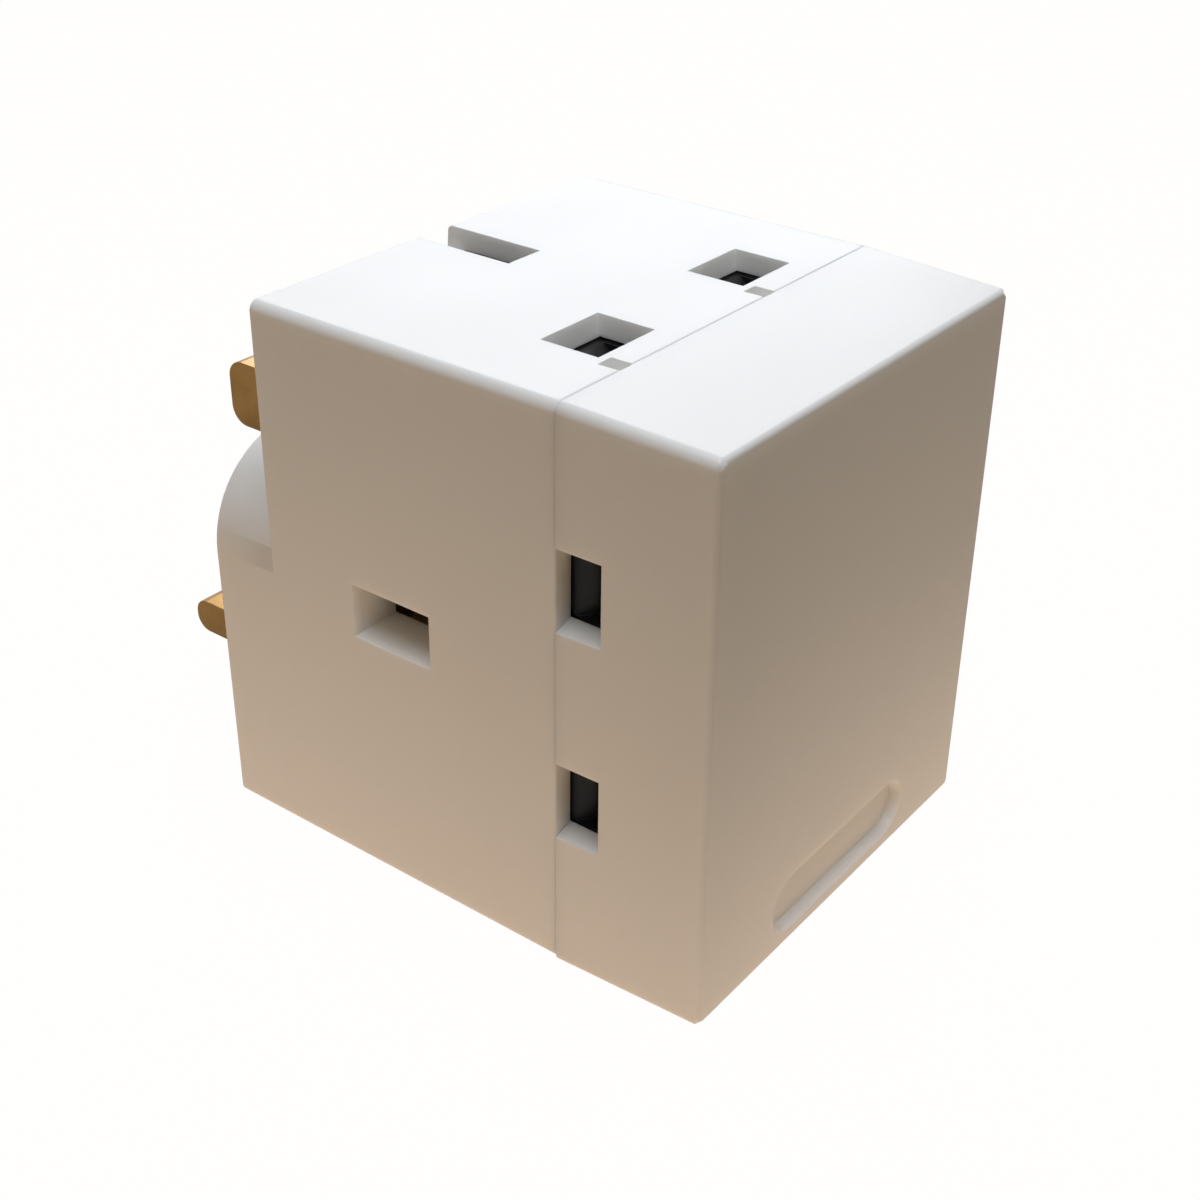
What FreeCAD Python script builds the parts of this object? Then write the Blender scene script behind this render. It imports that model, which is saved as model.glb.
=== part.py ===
import FreeCAD, Part
import math
import os

import Sketcher

# A three-way cube adaptor for square-pin sockets, in millimetres, standing as it does in the wall.
# X runs across, +Y along the pins towards the wall, +Z up towards the earth pin.
# The origin is on the pin face, midway between the line and neutral pins.

doc = FreeCAD.newDocument("multi_socket_adapter")
sheet = doc.addObject("Spreadsheet::Sheet", "Sizes")
sheet_rows = []
parts = {}


class Size:
    """A length: its value, and the expression that ties it to the sheet."""

    def __init__(self, value, text):
        self.value, self.text = value, text

    def __add__(self, other):
        other = as_size(other)
        return Size(self.value + other.value, f"({self.text} + {other.text})")

    def __sub__(self, other):
        other = as_size(other)
        return Size(self.value - other.value, f"({self.text} - {other.text})")

    def __mul__(self, factor):
        factor = as_size(factor)
        return Size(self.value * factor.value, f"({self.text} * {factor.text})")

    def __truediv__(self, divisor):
        divisor = as_size(divisor)
        return Size(self.value / divisor.value, f"({self.text} / {divisor.text})")

    def __neg__(self):
        return Size(-self.value, f"(-1 * {self.text})")


def as_size(number):
    return number if isinstance(number, Size) else Size(float(number), f"{float(number)}")


def size(alias, value, meaning):
    """Writes one driving dimension to the sheet and gives it back as a Size."""
    sheet_rows.append(alias)
    row = len(sheet_rows)
    sheet.set(f"A{row}", meaning)
    sheet.set(f"B{row}", str(value))
    sheet.setAlias(f"B{row}", alias)
    return Size(value, f"Sizes.{alias}")


def length_of(number):
    """A size as the sheet holds it, for the shapes that are made in code."""
    return number.value


ORIGIN = as_size(0)

# Casing
case_width = size("case_width", 50.0, "casing across, at the seam")
case_height = size("case_height", 58.7, "base to top face")
case_depth = size("case_depth", 52.2, "shoulder to front face")
cover_depth = size("cover_depth", 16.3, "seam to front face")
base_drop = size("base_drop", 11.2, "base to the line and neutral pins")
wall = size("wall", 2.2, "casing wall, also under the side outlets")
top_wall = size("top_wall", 2.1, "casing wall under the top outlet")
front_wall = size("front_wall", 2.5, "front face wall")
face_wall = size("face_wall", 2.6, "wall that holds the pins")
corner_radius = size("corner_radius", 1.0, "long edges of the casing")
shoulder_edge = size("shoulder_edge", 0.35, "bevel round the shoulder")
front_edge = size("front_edge", 0.55, "bevel round the front face")
cover_draft = size("cover_draft", 0.6, "how far each side of the cover leans in")
cover_step = size("cover_step", 0.35, "how far the cover stands below the rear housing")
cover_rise = size("cover_rise", 0.2, "how much higher the cover's underside is at the front")
cover_fall = size("cover_fall", 0.6, "how much lower the cover's top is at the front")
front_lean = size("front_lean", 0.4, "how far the front face leans back at its top")
seam_chamfer = size("seam_chamfer", 0.25, "chamfer at the seam")

# Boss that carries the pins
boss_depth = size("boss_depth", 8.2, "pin face to shoulder")
boss_height = size("boss_height", 41.1, "base to the top of the boss")
boss_corner = size("boss_corner", 11.0, "upper corners of the boss")
boss_edge = size("boss_edge", 0.4, "bevel round the pin face")

# Pins
pin_spacing = size("pin_spacing", 22.23, "line to neutral, and their line to earth")
pin_thickness = size("pin_thickness", 4.0, "all pins, the thin way")
live_width = size("live_width", 6.35, "line and neutral pins, the wide way")
earth_width = size("earth_width", 7.95, "earth pin, the wide way")
live_length = size("live_length", 17.5, "line and neutral pins beyond the pin face")
earth_length = size("earth_length", 22.4, "earth pin beyond the pin face")
earth_tip = size("earth_tip", 2.2, "rounding at the upper and lower end of the earth pin's tip")
live_tip = size("live_tip", 1.8, "rounding above and below the line and neutral pins' tips")
sleeve_length = size("sleeve_length", 9.5, "sleeve beyond the pin face")
sleeve_wall = size("sleeve_wall", 0.5, "wall of the sleeve")
collar_proud = size("collar_proud", 1.2, "collar beyond the pin all round")
collar_depth = size("collar_depth", 1.6, "collar along the pin")
tongue_depth = size("tongue_depth", 4.8, "line and neutral tongues behind the collar")
earth_tongue_depth = size("earth_tongue_depth", 8.8, "earth tongue behind the collar")
earth_tongue_height = size("earth_tongue_height", 3.5, "earth tongue, up from the pin's lower side")

# Outlets
side_outlet_rise = size("side_outlet_rise", 0.75, "middle of a side outlet above half the height")
side_slot_thickness = size("side_slot_thickness", 4.8, "side line and neutral slots at the face")
side_slot_width = size("side_slot_width", 8.3, "side line and neutral slots at the face")
top_line_setback = size("top_line_setback", 6.3, "seam to the top outlet's line and neutral")
top_slot_thickness = size("top_slot_thickness", 6.4, "top line and neutral slots at the face")
top_slot_width = size("top_slot_width", 8.2, "top line and neutral slots at the face")
slot_clearance = size("slot_clearance", 0.15, "slot beyond the pin all round, at the inside")
earth_flare = size("earth_flare", 0.75, "how much wider an earth slot is at the face, each side")
notch_flare = size("notch_flare", 0.25, "the same on the top earth notch")
top_clearance = size("top_clearance", 0.6, "top slot beyond the pin all round, at the inside")
guide_depth = size("guide_depth", 5.0, "outlet face to the inner end of an earth pin's guide")
guide_wall = size("guide_wall", 1.2, "walls of the guides")
latch_width = size("latch_width", 1.9, "latch notches in the top, across")
latch_depth = size("latch_depth", 1.0, "latch notches, down")
latch_length = size("latch_length", 2.3, "latch notches, back from the seam")
latch_shift = size("latch_shift", 4.3, "latch notches to the left of the slots' middles")

# Recess in the front face
recess_length = size("recess_length", 24.8, "pill-shaped recess, across")
recess_height = size("recess_height", 6.7, "pill-shaped recess, upright")
recess_rise = size("recess_rise", 4.9, "base to the middle of the recess")
recess_shift = size("recess_shift", 0.5, "middle of the recess to the right of the middle")
recess_depth = size("recess_depth", 1.2, "recess depth")
recess_slope = size("recess_slope", 0.45, "how far the recess wall leans in")

# Shutters and their springs
shutter_gap = size("shutter_gap", 0.25, "running gap round a shutter")
shutter_thickness = size("shutter_thickness", 1.6, "shutter plate")
shutter_length = size("shutter_length", 31.2, "shutter plate along the two slots")
shutter_breadth = size("shutter_breadth", 6.2, "shutter plate across the slots")
ramp_run = size("ramp_run", 4.6, "ramps that the pins push, across the slot and down")
ramp_width = size("ramp_width", 6.9, "ramps, a little wider than the pins")
ramp_lip = size("ramp_lip", 1.2, "thickness of a ramp's end")
lug_width = size("lug_width", 5.0, "spring lug, and the wall that the top spring rests on")
spring_radius = size("spring_radius", 1.45, "shutter spring, to the wire's middle")
spring_wire = size("spring_wire", 0.2, "radius of the spring wire")
spring_length = size("spring_length", 7.9, "spring at rest")
spring_drop = size("spring_drop", 2.2, "spring axis below the plate's face")
spigot_radius = size("spigot_radius", 0.9, "spigots inside the spring's ends")
spigot_length = size("spigot_length", 1.0, "spigots inside the spring's ends")
rail_lip = size("rail_lip", 0.7, "how far a rail reaches under the plate")
rail_side = size("rail_side", 0.8, "rails beside the shutters' ends")
rail_thickness = size("rail_thickness", 1.2, "rails under the shutters, and their stops")
stop_length = size("stop_length", 3.0, "stops that hold a shutter closed, along the plate")
spring_turns = 5

# Fuse and its carrier
fuse_length = size("fuse_length", 25.4, "cartridge fuse")
fuse_radius = size("fuse_radius", 3.175, "fuse caps")
fuse_tube_radius = size("fuse_tube_radius", 2.9, "ceramic tube of the fuse")
fuse_cap_length = size("fuse_cap_length", 5.8, "fuse caps")
fuse_cap_wall = size("fuse_cap_wall", 0.25, "sheet of the caps")
fuse_height = size("fuse_height", 10.1, "fuse axis above the line and neutral pins")
carrier_length = size("carrier_length", 29.0, "fuse carrier across")
carrier_height = size("carrier_height", 9.0, "fuse carrier upright")
carrier_plate = size("carrier_plate", 2.0, "face of the carrier")
carrier_corner = size("carrier_corner", 1.0, "corners of the carrier")
carrier_gap = size("carrier_gap", 0.25, "gap round the carrier")
cradle_length = size("cradle_length", 11.0, "cradle that grips the fuse")
cradle_wall = size("cradle_wall", 1.1, "wall of the cradle")
cradle_hook = size("cradle_hook", 1.5, "cradle beyond the fuse's middle")
fuse_gap = size("fuse_gap", 0.05, "fit of the fuse in cradle and clips")
plate_gap = size("plate_gap", 0.3, "fuse to the face of the carrier")
tunnel_wall = size("tunnel_wall", 1.2, "walls round the carrier behind the pin face")
tunnel_depth = size("tunnel_depth", 3.0, "those walls along the pins")

# Sheet metal
strip = size("strip", 0.8, "busbar strip")
strip_width = size("strip_width", 5.6, "busbar strip, the wide way")
leaf = size("leaf", 0.5, "contact clip sheet")
clip_width = size("clip_width", 5.5, "contact clips")
clip_root = size("clip_root", 2.3, "half the gap inside a clip at its web")
clip_pinch = size("clip_pinch", 1.75, "half the gap where it grips")
clip_mouth = size("clip_mouth", 2.5, "half the gap at its mouth")
clip_flare = size("clip_flare", 3.0, "height of the flared mouth")
clip_setback = size("clip_setback", 8.6, "outlet face to a clip's mouth")
earth_clip_setback = size("earth_clip_setback", 5.3, "side outlet's face to its earth clip's mouth")
top_earth_setback = size("top_earth_setback", 9.9, "top face to its earth clip's mouth")
web_offset = size("web_offset", 5.6, "side clips' webs from the middle")
bar_offset = size("bar_offset", 4.0, "busbars from the side outlets' line")
shelf_rise = size("shelf_rise", 5.1, "middle of the side outlets to the shelves' underside")
fuse_web_gap = size("fuse_web_gap", 0.6, "fuse to the web of its clips, room for a rivet head")
bend = size("bend", 0.6, "inside bends of the sheet metal")
rivet_radius = size("rivet_radius", 0.95, "rivet shank")
rivet_hole = size("rivet_hole", 1.0, "holes for the rivets")
rivet_head = size("rivet_head", 1.7, "rivet head, radius")
rivet_head_height = size("rivet_head_height", 0.4, "rivet head, height")

# Screws
screw_inset = size("screw_inset", 4.4, "screws from the casing's outer faces")
screw_radius = size("screw_radius", 1.45, "screw shank")
screw_head = size("screw_head", 2.6, "screw head, radius")
screw_head_height = size("screw_head_height", 1.9, "screw head, height")
screw_length = size("screw_length", 12.0, "screw below its head")
screw_gap = size("screw_gap", 0.15, "gap round the screw head and in the post")
post_wall = size("post_wall", 1.1, "wall of the screw posts")
post_web = size("post_web", 3.0, "floor of the rear posts under the screw head")
run_out = size("run_out", 0.5, "how far features reach into what they join or cut")

# Planes and centres that the sizes give
half_width = case_width / 2
base_z = -base_drop
top_z = base_z + case_height
boss_top = base_z + boss_height
shoulder_y = -boss_depth
seam_y = shoulder_y - case_depth + cover_depth
front_y = shoulder_y - case_depth
front_inner_y = front_y + front_wall
inner_x = half_width - wall
inner_top = top_z - top_wall
inner_base = base_z + wall
live_x = pin_spacing / 2
earth_z = pin_spacing
side_z = base_z + case_height / 2 + side_outlet_rise
shelf_height = side_z + shelf_rise
side_line_y = seam_y - side_slot_thickness / 2
top_line_y = seam_y + top_line_setback
fuse_y = -(carrier_plate + fuse_radius + plate_gap)
slot_width = live_width + slot_clearance * 2
slot_thickness = pin_thickness + slot_clearance * 2
earth_slot_width = earth_width + slot_clearance * 2
collar_y = -(face_wall + collar_depth)
post_radius = screw_head + screw_gap + post_wall
line_bar_y = side_line_y + bar_offset
neutral_bar_y = side_line_y - bar_offset
fuse_web_y = fuse_y - fuse_radius - fuse_web_gap
foot_top = strip / 2
cover_base = base_z - cover_step


def new_body(label):
    body = doc.addObject("PartDesign::Body", label)
    body.Label = label
    parts[label] = body
    return body


def sketch_on(body, name, plane, level):
    """An empty sketch on one of the body's own planes, at a level along its normal."""
    sketch = body.newObject("Sketcher::SketchObject", name + "_sketch")
    origin_plane = next(item for item in body.Origin.OriginFeatures if item.Role == plane)
    sketch.AttachmentSupport = [(origin_plane, "")]
    sketch.MapMode = "FlatFace"
    sketch.setExpression(".AttachmentOffset.Base.z", level.text)
    return sketch


def hold(sketch, geometry, point, place):
    """Ties one point of the sketch to its two coordinates."""
    for kind, coordinate in zip(("DistanceX", "DistanceY"), place):
        index = sketch.addConstraint(Sketcher.Constraint(kind, geometry, point, coordinate.value))
        sketch.setExpression(f"Constraints[{index}]", coordinate.text)


def hold_radius(sketch, geometry, radius):
    index = sketch.addConstraint(Sketcher.Constraint("Radius", geometry, radius.value))
    sketch.setExpression(f"Constraints[{index}]", radius.text)


def vector(place):
    return FreeCAD.Vector(place[0].value, place[1].value, 0)


def direction(start, end):
    """+1, 0 or -1 along each axis, from one corner to the next."""
    steps = [end[axis].value - start[axis].value for axis in (0, 1)]
    return [0 if abs(step) < 1e-6 else math.copysign(1, step) for step in steps]


def outline(body, name, plane, corners, level):
    """A closed sketch through corners (u, v), or (u, v, radius) where two square sides meet in an arc."""
    sketch = sketch_on(body, name, plane, level)
    corners = [tuple(as_size(number) for number in corner) for corner in corners]
    turns = []
    for index, corner in enumerate(corners):
        if len(corner) == 2:
            turns.append((corner, corner, None, None, True))
            continue
        u, v, radius = corner
        into = direction(corners[index - 1], corner)
        away = direction(corner, corners[(index + 1) % len(corners)])
        start = (u - radius * into[0], v - radius * into[1])
        end = (u + radius * away[0], v + radius * away[1])
        centre = (start[0] + radius * away[0], start[1] + radius * away[1])
        turns.append((start, end, centre, radius, into[0] * away[1] - into[1] * away[0] > 0))
    lines = []
    for index, turn in enumerate(turns):
        following = turns[(index + 1) % len(turns)]
        line = sketch.addGeometry(Part.LineSegment(vector(turn[1]), vector(following[0])), False)
        hold(sketch, line, 1, turn[1])
        lines.append(line)
    for index, (start, end, centre, radius, left_turn) in enumerate(turns):
        before, after = lines[index - 1], lines[index]
        if centre is None:
            sketch.addConstraint(Sketcher.Constraint("Coincident", before, 2, after, 1))
            continue
        hold(sketch, before, 2, start)
        first, last = (start, end) if left_turn else (end, start)
        angles = []
        for place in (first, last):
            offset = vector(place) - vector(centre)
            angles.append(math.atan2(offset.y, offset.x))
        circle = Part.Circle(vector(centre), FreeCAD.Vector(0, 0, 1), radius.value)
        sweep = (angles[1] - angles[0]) % (2 * math.pi)
        arc = sketch.addGeometry(Part.ArcOfCircle(circle, angles[0], angles[0] + sweep), False)
        sketch.addConstraint(Sketcher.Constraint("Coincident", arc, 1 if left_turn else 2, before, 2))
        sketch.addConstraint(Sketcher.Constraint("Coincident", arc, 2 if left_turn else 1, after, 1))
        hold_radius(sketch, arc, radius)
    return sketch


def disc(body, name, plane, centre, radius, level):
    sketch = sketch_on(body, name, plane, level)
    circle = Part.Circle(vector(centre), FreeCAD.Vector(0, 0, 1), radius.value)
    sketch.addGeometry(circle, False)
    hold(sketch, 0, 3, centre)
    hold_radius(sketch, 0, radius)
    return sketch


def rectangle(left, right, low, high, radius=None):
    corners = [(left, low), (right, low), (right, high), (left, high)]
    return corners if radius is None else [corner + (radius,) for corner in corners]


PLANES = {"X": "YZ_Plane", "Y": "XZ_Plane", "Z": "XY_Plane"}


def level_of(axis, place):
    """The upright plane across the pins faces -Y, so its levels count the other way."""
    return -place if axis == "Y" else place


def ends_of(axis, low, high):
    """The lower and the upper end as levels along the plane's own normal."""
    low, high = as_size(low), as_size(high)
    return (level_of(axis, high), level_of(axis, low)) if axis == "Y" else (low, high)


def feature_from(body, kind, name, sketch, length):
    feature = body.newObject(f"PartDesign::{kind}", name)
    feature.Profile = sketch
    feature.setExpression("Length", length.text)
    sketch.Visibility = False
    return feature


def pad(body, name, axis, corners, low, high):
    """Adds the outline, drawn across the axis, from low to high along it."""
    start, end = ends_of(axis, low, high)
    sketch = outline(body, name, PLANES[axis], corners, start)
    return feature_from(body, "Pad", name, sketch, end - start)


def cut(body, name, axis, corners, low, high):
    """Cuts the outline from low to high: a pocket runs against its sketch's normal."""
    start, end = ends_of(axis, low, high)
    sketch = outline(body, name, PLANES[axis], corners, end)
    return checked_cut(body, feature_from(body, "Pocket", name, sketch, end - start))


def pad_disc(body, name, axis, centre, radius, low, high):
    start, end = ends_of(axis, low, high)
    sketch = disc(body, name, PLANES[axis], centre, radius, start)
    return feature_from(body, "Pad", name, sketch, end - start)


def cut_disc(body, name, axis, centre, radius, low, high):
    start, end = ends_of(axis, low, high)
    sketch = disc(body, name, PLANES[axis], centre, radius, end)
    return checked_cut(body, feature_from(body, "Pocket", name, sketch, end - start))


def checked_cut(body, feature):
    """Every cut has to take something away."""
    doc.recompute()
    if feature.Shape.isNull() or feature.Shape.Volume >= feature.BaseFeature.Shape.Volume - 1e-6:
        raise RuntimeError(f"{body.Label}: {feature.Label} cuts nothing")
    return feature


def loft(body, kind, name, axis, near, near_place, far, far_place):
    """Joins two outlines at two places along an axis, as a solid or as a cut."""
    first = outline(body, name + "_near", PLANES[axis], near, level_of(axis, near_place))
    second = outline(body, name + "_far", PLANES[axis], far, level_of(axis, far_place))
    feature = body.newObject(f"PartDesign::{kind}", name)
    feature.Profile = first
    feature.Sections = [second]
    feature.Ruled = True
    return feature


def cut_loft(body, name, axis, near, near_place, far, far_place):
    return checked_cut(body, loft(body, "SubtractiveLoft", name, axis, near, near_place, far, far_place))


def dress_edges(body, kind, name, amount, chosen):
    """Rounds or chamfers the edges that the test picks from the body as it stands."""
    doc.recompute()
    base = body.Tip
    names = [f"Edge{number}" for number, edge in enumerate(base.Shape.Edges, 1) if chosen(edge.BoundBox)]
    feature = body.newObject(f"PartDesign::{kind}", name)
    feature.Base = (base, names)
    feature.setExpression("Radius" if kind == "Fillet" else "Size", amount.text)
    return feature


def near(first, second):
    return abs(first - second) < 1e-4


def place_body(body, place, rotation):
    """Puts a body's own frame at a place of the whole part."""
    body.Placement = FreeCAD.Placement(FreeCAD.Vector(*(number.value for number in place)), rotation)
    for axis, number in zip("xyz", place):
        body.setExpression(f".Placement.Base.{axis}", number.text)


def boss_outline(inset):
    """The plug-shaped outline: square below, with large upper corners."""
    side, low, high = half_width - inset, base_z + inset, boss_top - inset
    return [(-side, low), (side, low), (side, high, boss_corner - inset), (-side, high, boss_corner - inset)]


screw_places = []
for across in (-1, 1):
    for upright, opening in ((base_z + screw_inset, ORIGIN), (top_z - screw_inset, shoulder_y)):
        screw_places.append(((half_width - screw_inset) * across, upright, opening))


# Rear housing

def make_rear_housing():
    body = new_body("rear_housing")
    shell = rectangle(-half_width, half_width, base_z, top_z, corner_radius)
    pad(body, "shell", "Y", shell, seam_y, shoulder_y)
    dress_edges(body, "Chamfer", "seam_edge", seam_chamfer,
                lambda box: near(box.YMin, seam_y.value) and near(box.YMax, seam_y.value))
    dress_edges(body, "Chamfer", "shoulder_edge", shoulder_edge,
                lambda box: near(box.YMin, shoulder_y.value) and near(box.YMax, shoulder_y.value))
    boss = [(-half_width, base_z, corner_radius), (half_width, base_z, corner_radius),
            (half_width, boss_top, boss_corner), (-half_width, boss_top, boss_corner)]
    pad(body, "boss", "Y", boss, shoulder_y - wall, ORIGIN)
    dress_edges(body, "Chamfer", "boss_edge", boss_edge,
                lambda box: near(box.YMin, 0) and near(box.YMax, 0))
    cavity = rectangle(-inner_x, inner_x, inner_base, inner_top)
    cut(body, "cavity", "Y", cavity, seam_y, shoulder_y - wall)
    cut(body, "boss_cavity", "Y", boss_outline(wall), shoulder_y - wall - run_out, -face_wall)
    for number, (x, z, opening) in enumerate(screw_places):
        inner = (shoulder_y - wall if opening is shoulder_y else -face_wall) + run_out
        pad_disc(body, f"post_{number}", "Y", (x, z), post_radius, seam_y, inner)
        cut_disc(body, f"head_hole_{number}", "Y", (x, z), screw_head + screw_gap, seam_y + post_web,
                 opening + run_out)
        cut_disc(body, f"shank_hole_{number}", "Y", (x, z), screw_radius + screw_gap, seam_y,
                 seam_y + post_web + run_out)
    make_pin_holes(body)
    make_fuse_opening(body)
    make_rear_slots(body)
    make_rear_rails(body)
    make_spring_seats(body)


def make_pin_holes(body):
    for side, across in (("neutral", -1), ("line", 1)):
        hole = rectangle(live_x * across - live_width / 2, live_x * across + live_width / 2,
                         -pin_thickness / 2, pin_thickness / 2)
        cut(body, f"{side}_hole", "Y", hole, -face_wall - run_out, run_out)
    hole = rectangle(-pin_thickness / 2, pin_thickness / 2, earth_z - earth_width / 2,
                     earth_z + earth_width / 2)
    cut(body, "earth_hole", "Y", hole, -face_wall - run_out, run_out)


def make_fuse_opening(body):
    """A short tunnel guides the fuse carrier behind its opening in the pin face."""
    half_length = carrier_length / 2 + carrier_gap
    half_height = carrier_height / 2 + carrier_gap
    tunnel = rectangle(-half_length - tunnel_wall, half_length + tunnel_wall,
                       fuse_height - half_height - tunnel_wall, fuse_height + half_height + tunnel_wall)
    pad(body, "fuse_tunnel", "Y", tunnel, -face_wall - tunnel_depth, -face_wall + run_out)
    opening = rectangle(-half_length, half_length, fuse_height - half_height, fuse_height + half_height,
                        carrier_corner)
    cut(body, "fuse_opening", "Y", opening, -face_wall - tunnel_depth - run_out, run_out)


def make_rear_slots(body):
    half_inner, half_thickness = earth_slot_width / 2, slot_thickness / 2
    for side, across in (("left", -1), ("right", 1)):
        middle = side_line_y + pin_spacing
        outer = rectangle(middle - half_inner - earth_flare, middle + half_inner + earth_flare,
                          side_z - half_thickness - earth_flare, side_z + half_thickness + earth_flare)
        inner = rectangle(middle - half_inner, middle + half_inner, side_z - half_thickness,
                          side_z + half_thickness)
        guide = rectangle(middle - half_inner - guide_wall, middle + half_inner + guide_wall,
                          side_z - half_thickness - guide_wall, side_z + half_thickness + guide_wall)
        ends = sorted([(half_width - guide_depth) * across, (inner_x + run_out) * across], key=length_of)
        pad(body, f"{side}_earth_guide", "X", guide, *ends)
        cut_loft(body, f"{side}_earth_slot", "X", outer, half_width * across, inner, inner_x * across)
        ends = sorted([(half_width - guide_depth - run_out) * across, (inner_x + run_out / 10) * across],
                      key=length_of)
        cut(body, f"{side}_earth_way", "X", inner, *ends)
    for side, across in (("neutral", -1), ("line", 1)):
        middle = live_x * across
        outer = rectangle(middle - top_slot_width / 2, middle + top_slot_width / 2,
                          top_line_y - top_slot_thickness / 2, top_line_y + top_slot_thickness / 2)
        wide, thick = live_width / 2 + top_clearance, pin_thickness / 2 + top_clearance
        inner = rectangle(middle - wide, middle + wide, top_line_y - thick, top_line_y + thick)
        cut_loft(body, f"top_{side}_slot", "Z", outer, top_z, inner, inner_top - run_out)
        latch = middle - latch_shift
        notch = rectangle(latch - latch_width / 2, latch + latch_width / 2, seam_y - run_out,
                          seam_y + latch_length)
        cut(body, f"latch_notch_{side}", "Z", notch, top_z - latch_depth, top_z + run_out)
    front = top_line_y + pin_spacing - half_inner
    outer = rectangle(-half_thickness - notch_flare, half_thickness + notch_flare, front - notch_flare * 2,
                      shoulder_y + run_out)
    inner = rectangle(-half_thickness, half_thickness, front, shoulder_y + run_out)
    cut_loft(body, "top_earth_notch", "Z", outer, top_z, inner, inner_top - run_out)


def rail_outline(across, middle, face, outward):
    """An L-shaped rail beside a shutter plate, with its lip under the plate's end."""
    near_end = shutter_length / 2 - rail_lip
    far_end = shutter_length / 2 + shutter_gap + rail_side
    side = shutter_length / 2 + shutter_gap
    under = face - (shutter_gap * 2 + shutter_thickness) * outward
    corners = [(side, face + run_out * outward), (side, under), (near_end, under),
               (near_end, under - rail_thickness * outward), (far_end, under - rail_thickness * outward),
               (far_end, face + run_out * outward)]
    return [(middle + along * across, place) for along, place in corners]


def make_rear_rails(body):
    """Rails for the whole run of the top shutter, and for the side shutters' open ends."""
    reach = shutter_breadth / 2 + shutter_gap
    for name, along in (("lower", -1), ("upper", 1)):
        rail = rail_outline(along, ORIGIN, inner_top, 1)
        pad(body, f"top_rail_{name}", "Y", rail, top_line_y - reach, top_line_y + reach + ramp_run)
        far, close = shutter_length / 2 * along, (shutter_length / 2 - stop_length) * along
        low, high = sorted([far, close], key=length_of)
        stop = rectangle(low, high, inner_top - shutter_gap - shutter_thickness, inner_top + run_out)
        pad(body, f"top_stop_{name}", "Y", stop, top_line_y - reach - rail_thickness, top_line_y - reach)
        for side, across in (("left", -1), ("right", 1)):
            rail = rail_outline(along, side_z, inner_x * across, across)
            turned = [(face, place) for place, face in rail]
            pad(body, f"{side}_rail_{name}", "Y", turned, seam_y, side_line_y + reach + ramp_run)


def make_spring_seats(body):
    """Small walls with spigots, against which the shutters' springs push."""
    drop = top_wall + shutter_gap + spring_drop
    deep = drop + lug_width / 2
    run = shutter_breadth / 2 + spring_length
    seat = rectangle(-lug_width / 2, lug_width / 2, top_z - deep, inner_top + run_out)
    pad(body, "top_seat", "Y", seat, top_line_y + run, top_line_y + run + rail_thickness)
    pad_disc(body, "top_spigot", "Y", (ORIGIN, top_z - drop), spigot_radius, top_line_y + run - spigot_length,
             top_line_y + run + run_out)
    drop = wall + shutter_gap + spring_drop
    deep = drop + lug_width / 2
    for side, across in (("left", -1), ("right", 1)):
        low, high = sorted([(half_width - deep) * across, (inner_x + run_out) * across], key=length_of)
        seat = rectangle(low, high, side_z - lug_width / 2, side_z + lug_width / 2)
        pad(body, f"{side}_seat", "Y", seat, side_line_y + run, side_line_y + run + rail_thickness)
        pad_disc(body, f"{side}_spigot", "Y", ((half_width - drop) * across, side_z), spigot_radius,
                 side_line_y + run - spigot_length, side_line_y + run + run_out)


# Front cover

def make_front_cover():
    body = new_body("front_cover")
    profile = [(seam_y, cover_base), (seam_y, top_z), (front_y + front_lean, top_z - cover_fall),
               (front_y, cover_base + cover_rise)]
    pad(body, "shell", "X", profile, -half_width, half_width)
    for side, across in (("left", -1), ("right", 1)):
        lean = [(half_width, seam_y), (half_width - cover_draft, front_y),
                (half_width - cover_draft, front_y - run_out), (half_width + run_out, front_y - run_out),
                (half_width + run_out, seam_y)]
        cut(body, f"{side}_draft", "Z", [(x * across, y) for x, y in lean], cover_base - run_out,
            top_z + run_out)
    face_top = (front_y + front_lean).value + 1e-4
    dress_edges(body, "Fillet", "long_edges", corner_radius,
                lambda box: box.YMin < face_top and near(box.YMax, seam_y.value))
    dress_edges(body, "Chamfer", "front_edge", front_edge, lambda box: box.YMax < face_top)
    cavity = rectangle(-inner_x, inner_x, inner_base, inner_top)
    cut(body, "cavity", "Y", cavity, front_inner_y, seam_y)
    for number, (x, z, opening) in enumerate(screw_places):
        pad_disc(body, f"post_{number}", "Y", (x, z), post_radius, front_inner_y - run_out, seam_y)
        cut_disc(body, f"pilot_{number}", "Y", (x, z), screw_radius, seam_y - screw_length + post_web - run_out,
                 seam_y + run_out)
    make_side_slots(body)
    make_side_rails(body)
    make_recess(body)


def make_side_slots(body):
    """Line and neutral slots of the side outlets, open to the seam."""
    for side, across in (("left", -1), ("right", 1)):
        for name, along in (("lower", -1), ("upper", 1)):
            middle = side_z + live_x * along
            front = side_line_y - side_slot_thickness / 2
            outer = rectangle(front, seam_y + run_out, middle - side_slot_width / 2,
                              middle + side_slot_width / 2)
            inner = rectangle(side_line_y - slot_thickness / 2, seam_y + run_out,
                              middle - slot_width / 2, middle + slot_width / 2)
            cut_loft(body, f"{side}_{name}_slot", "X", outer, half_width * across, inner,
                     (inner_x - run_out) * across)


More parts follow.
